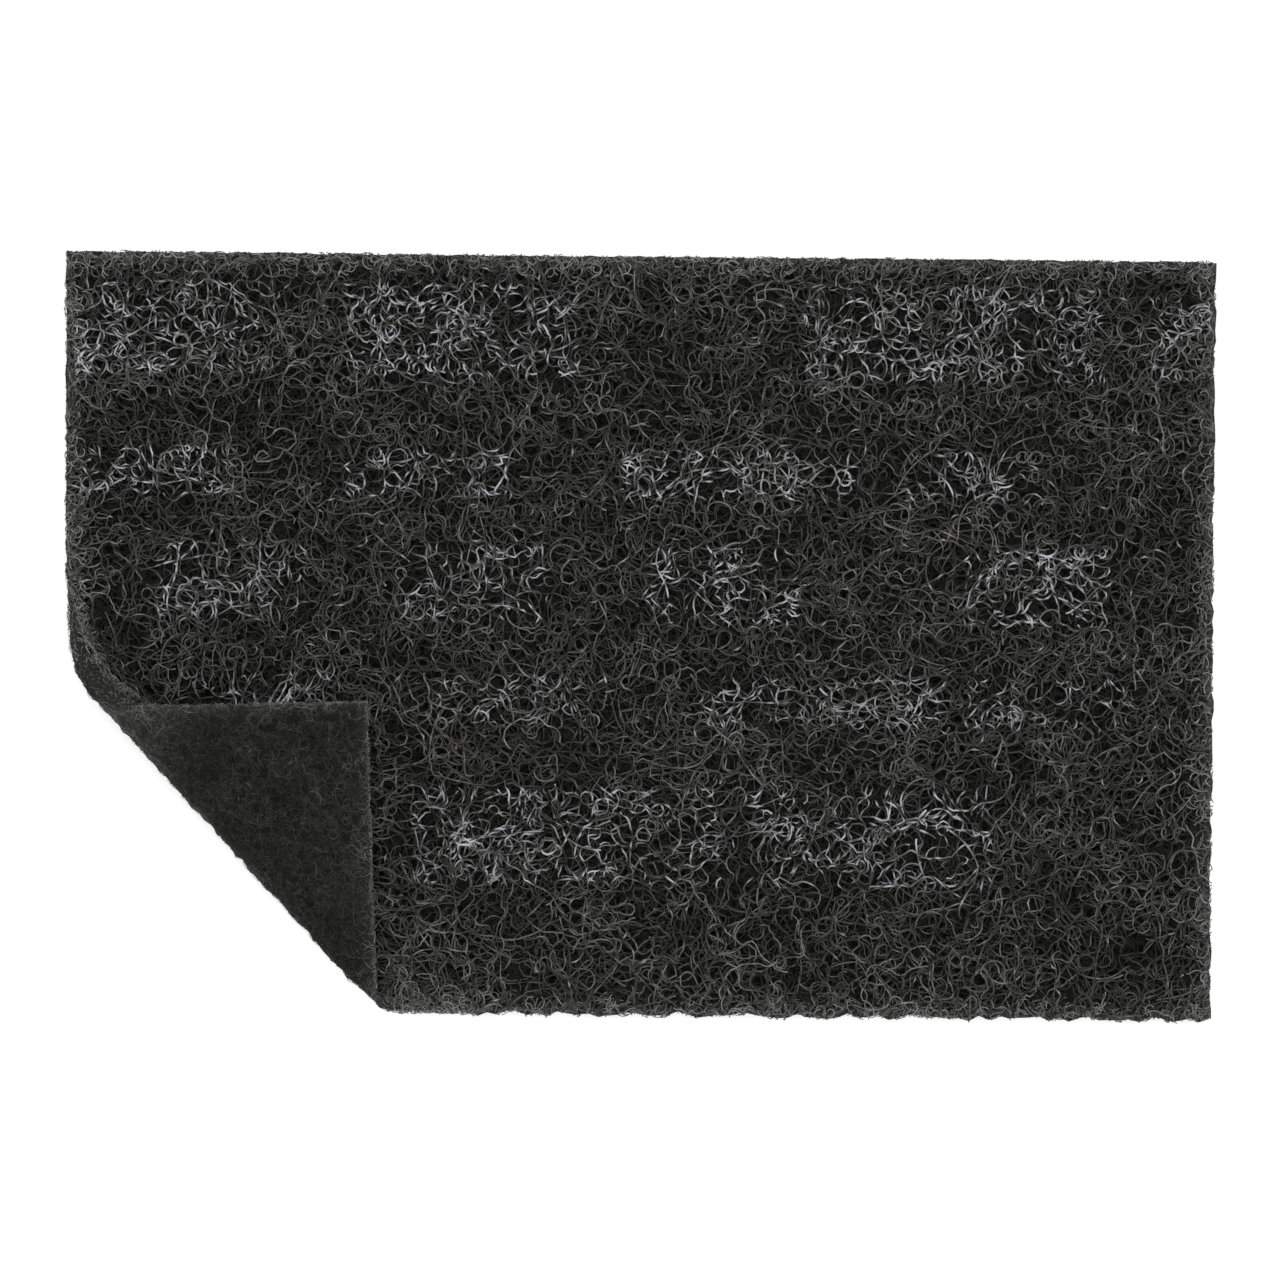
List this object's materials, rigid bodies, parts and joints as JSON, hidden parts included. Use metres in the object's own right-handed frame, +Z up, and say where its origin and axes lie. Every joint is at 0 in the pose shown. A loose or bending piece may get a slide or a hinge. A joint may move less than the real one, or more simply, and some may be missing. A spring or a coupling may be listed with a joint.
{
  "type": "nylon scouring pad",
  "caption": "Rectangular non-woven nylon scouring pad lying face up, with an open curly web, a felted back and one corner turned over.",
  "frame": {"origin": "centre of the pad's bounding box on the surface that it lies on", "axes": "+X along the long side, with the turned-over corner at -X and -Y, +Y across the pad, +Z up out of the scouring face"},
  "size_m": [0.23, 0.1546, 0.0173],
  "materials": {
    "nylon_web": "matt black-grey curly nylon fibre with resin and grit"
  },
  "bodies": {
    "root": {"scouring_pad": "nylon_web"}
  },
  "joints": []
}
